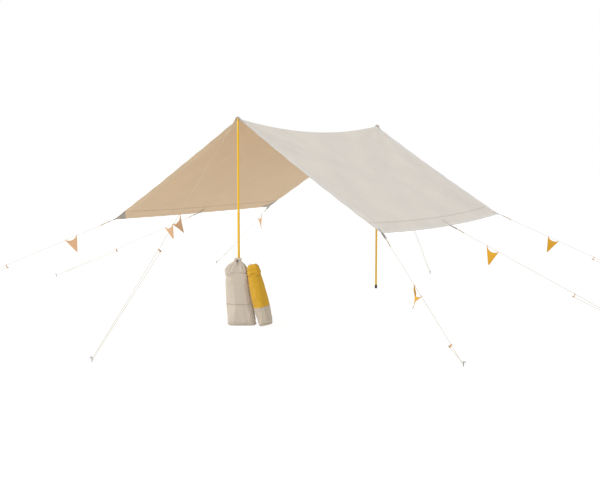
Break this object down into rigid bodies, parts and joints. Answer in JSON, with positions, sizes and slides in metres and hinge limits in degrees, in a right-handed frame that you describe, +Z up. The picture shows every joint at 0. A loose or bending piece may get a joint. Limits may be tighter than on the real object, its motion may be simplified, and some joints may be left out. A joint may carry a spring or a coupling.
{
  "type": "camping tarp",
  "caption": "Cotton camping tarp pitched as an open gable on two mustard poles, with taut guy lines, pennants, line runners and peg heads, and its two carry bags at the front pole.",
  "frame": {"origin": "on the ground, at the middle of the outline of the pitched tarp with its pegs", "axes": "+Z up, +Y along the ridge from the front pole to the rear pole, +X across the ridge towards the slope that faces the picture's camera"},
  "size_m": [8.1158, 6.8158, 2.116],
  "materials": {
    "cotton": "plain woven cotton canvas, matt",
    "webbing": "woven grey webbing",
    "pole_paint": "powder coat, satin",
    "foot_plastic": "moulded, matt",
    "cord": "braided cord",
    "runner": "moulded, satin",
    "pennant": "woven cotton, matt, its other face natural tan",
    "peg_steel": "galvanised",
    "bag_cotton": "plain woven cotton, matt",
    "bag_mustard": "plain woven cotton, matt"
  },
  "bodies": {
    "root": {"left_panel": "cotton", "right_panel": "cotton", "front_apex_strap": "webbing", "front_pole_foot": "foot_plastic", "front_pole_lower": "pole_paint", "front_pole_upper": "pole_paint", "front_pole_tip": "pole_paint", "rear_apex_strap": "webbing", "rear_pole_foot": "foot_plastic", "rear_pole_lower": "pole_paint", "rear_pole_upper": "pole_paint", "rear_pole_tip": "pole_paint", "tab_front_left": "webbing", "guy_line_front_left": "cord", "runner_front_left": "runner", "pennant_front_left": "pennant", "peg_front_left": "peg_steel", "tab_mid_left": "webbing", "guy_line_mid_left": "cord", "runner_mid_left": "runner", "pennant_mid_left": "pennant", "peg_mid_left": "peg_steel", "tab_rear_left": "webbing", "guy_line_rear_left": "cord", "runner_rear_left": "runner", "pennant_rear_left": "pennant", "peg_rear_left": "peg_steel", "tab_front_right": "webbing", "guy_line_front_right": "cord", "runner_front_right": "runner", "pennant_front_right": "pennant", "peg_front_right": "peg_steel", "tab_mid_right": "webbing", "guy_line_mid_right": "cord", "runner_mid_right": "runner", "pennant_mid_right": "pennant", "peg_mid_right": "peg_steel", "tab_rear_right": "webbing", "guy_line_rear_right": "cord", "runner_rear_right": "runner", "pennant_rear_right": "pennant", "peg_rear_right": "peg_steel", "guy_line_front": "cord", "runner_front": "runner", "pennant_front": "pennant", "peg_front": "peg_steel", "guy_line_rear": "cord", "runner_rear": "runner", "pennant_rear": "pennant", "peg_rear": "peg_steel", "tarp_bag": "bag_cotton", "pole_bag_base": "bag_cotton", "pole_bag": "bag_mustard"}
  },
  "joints": []
}
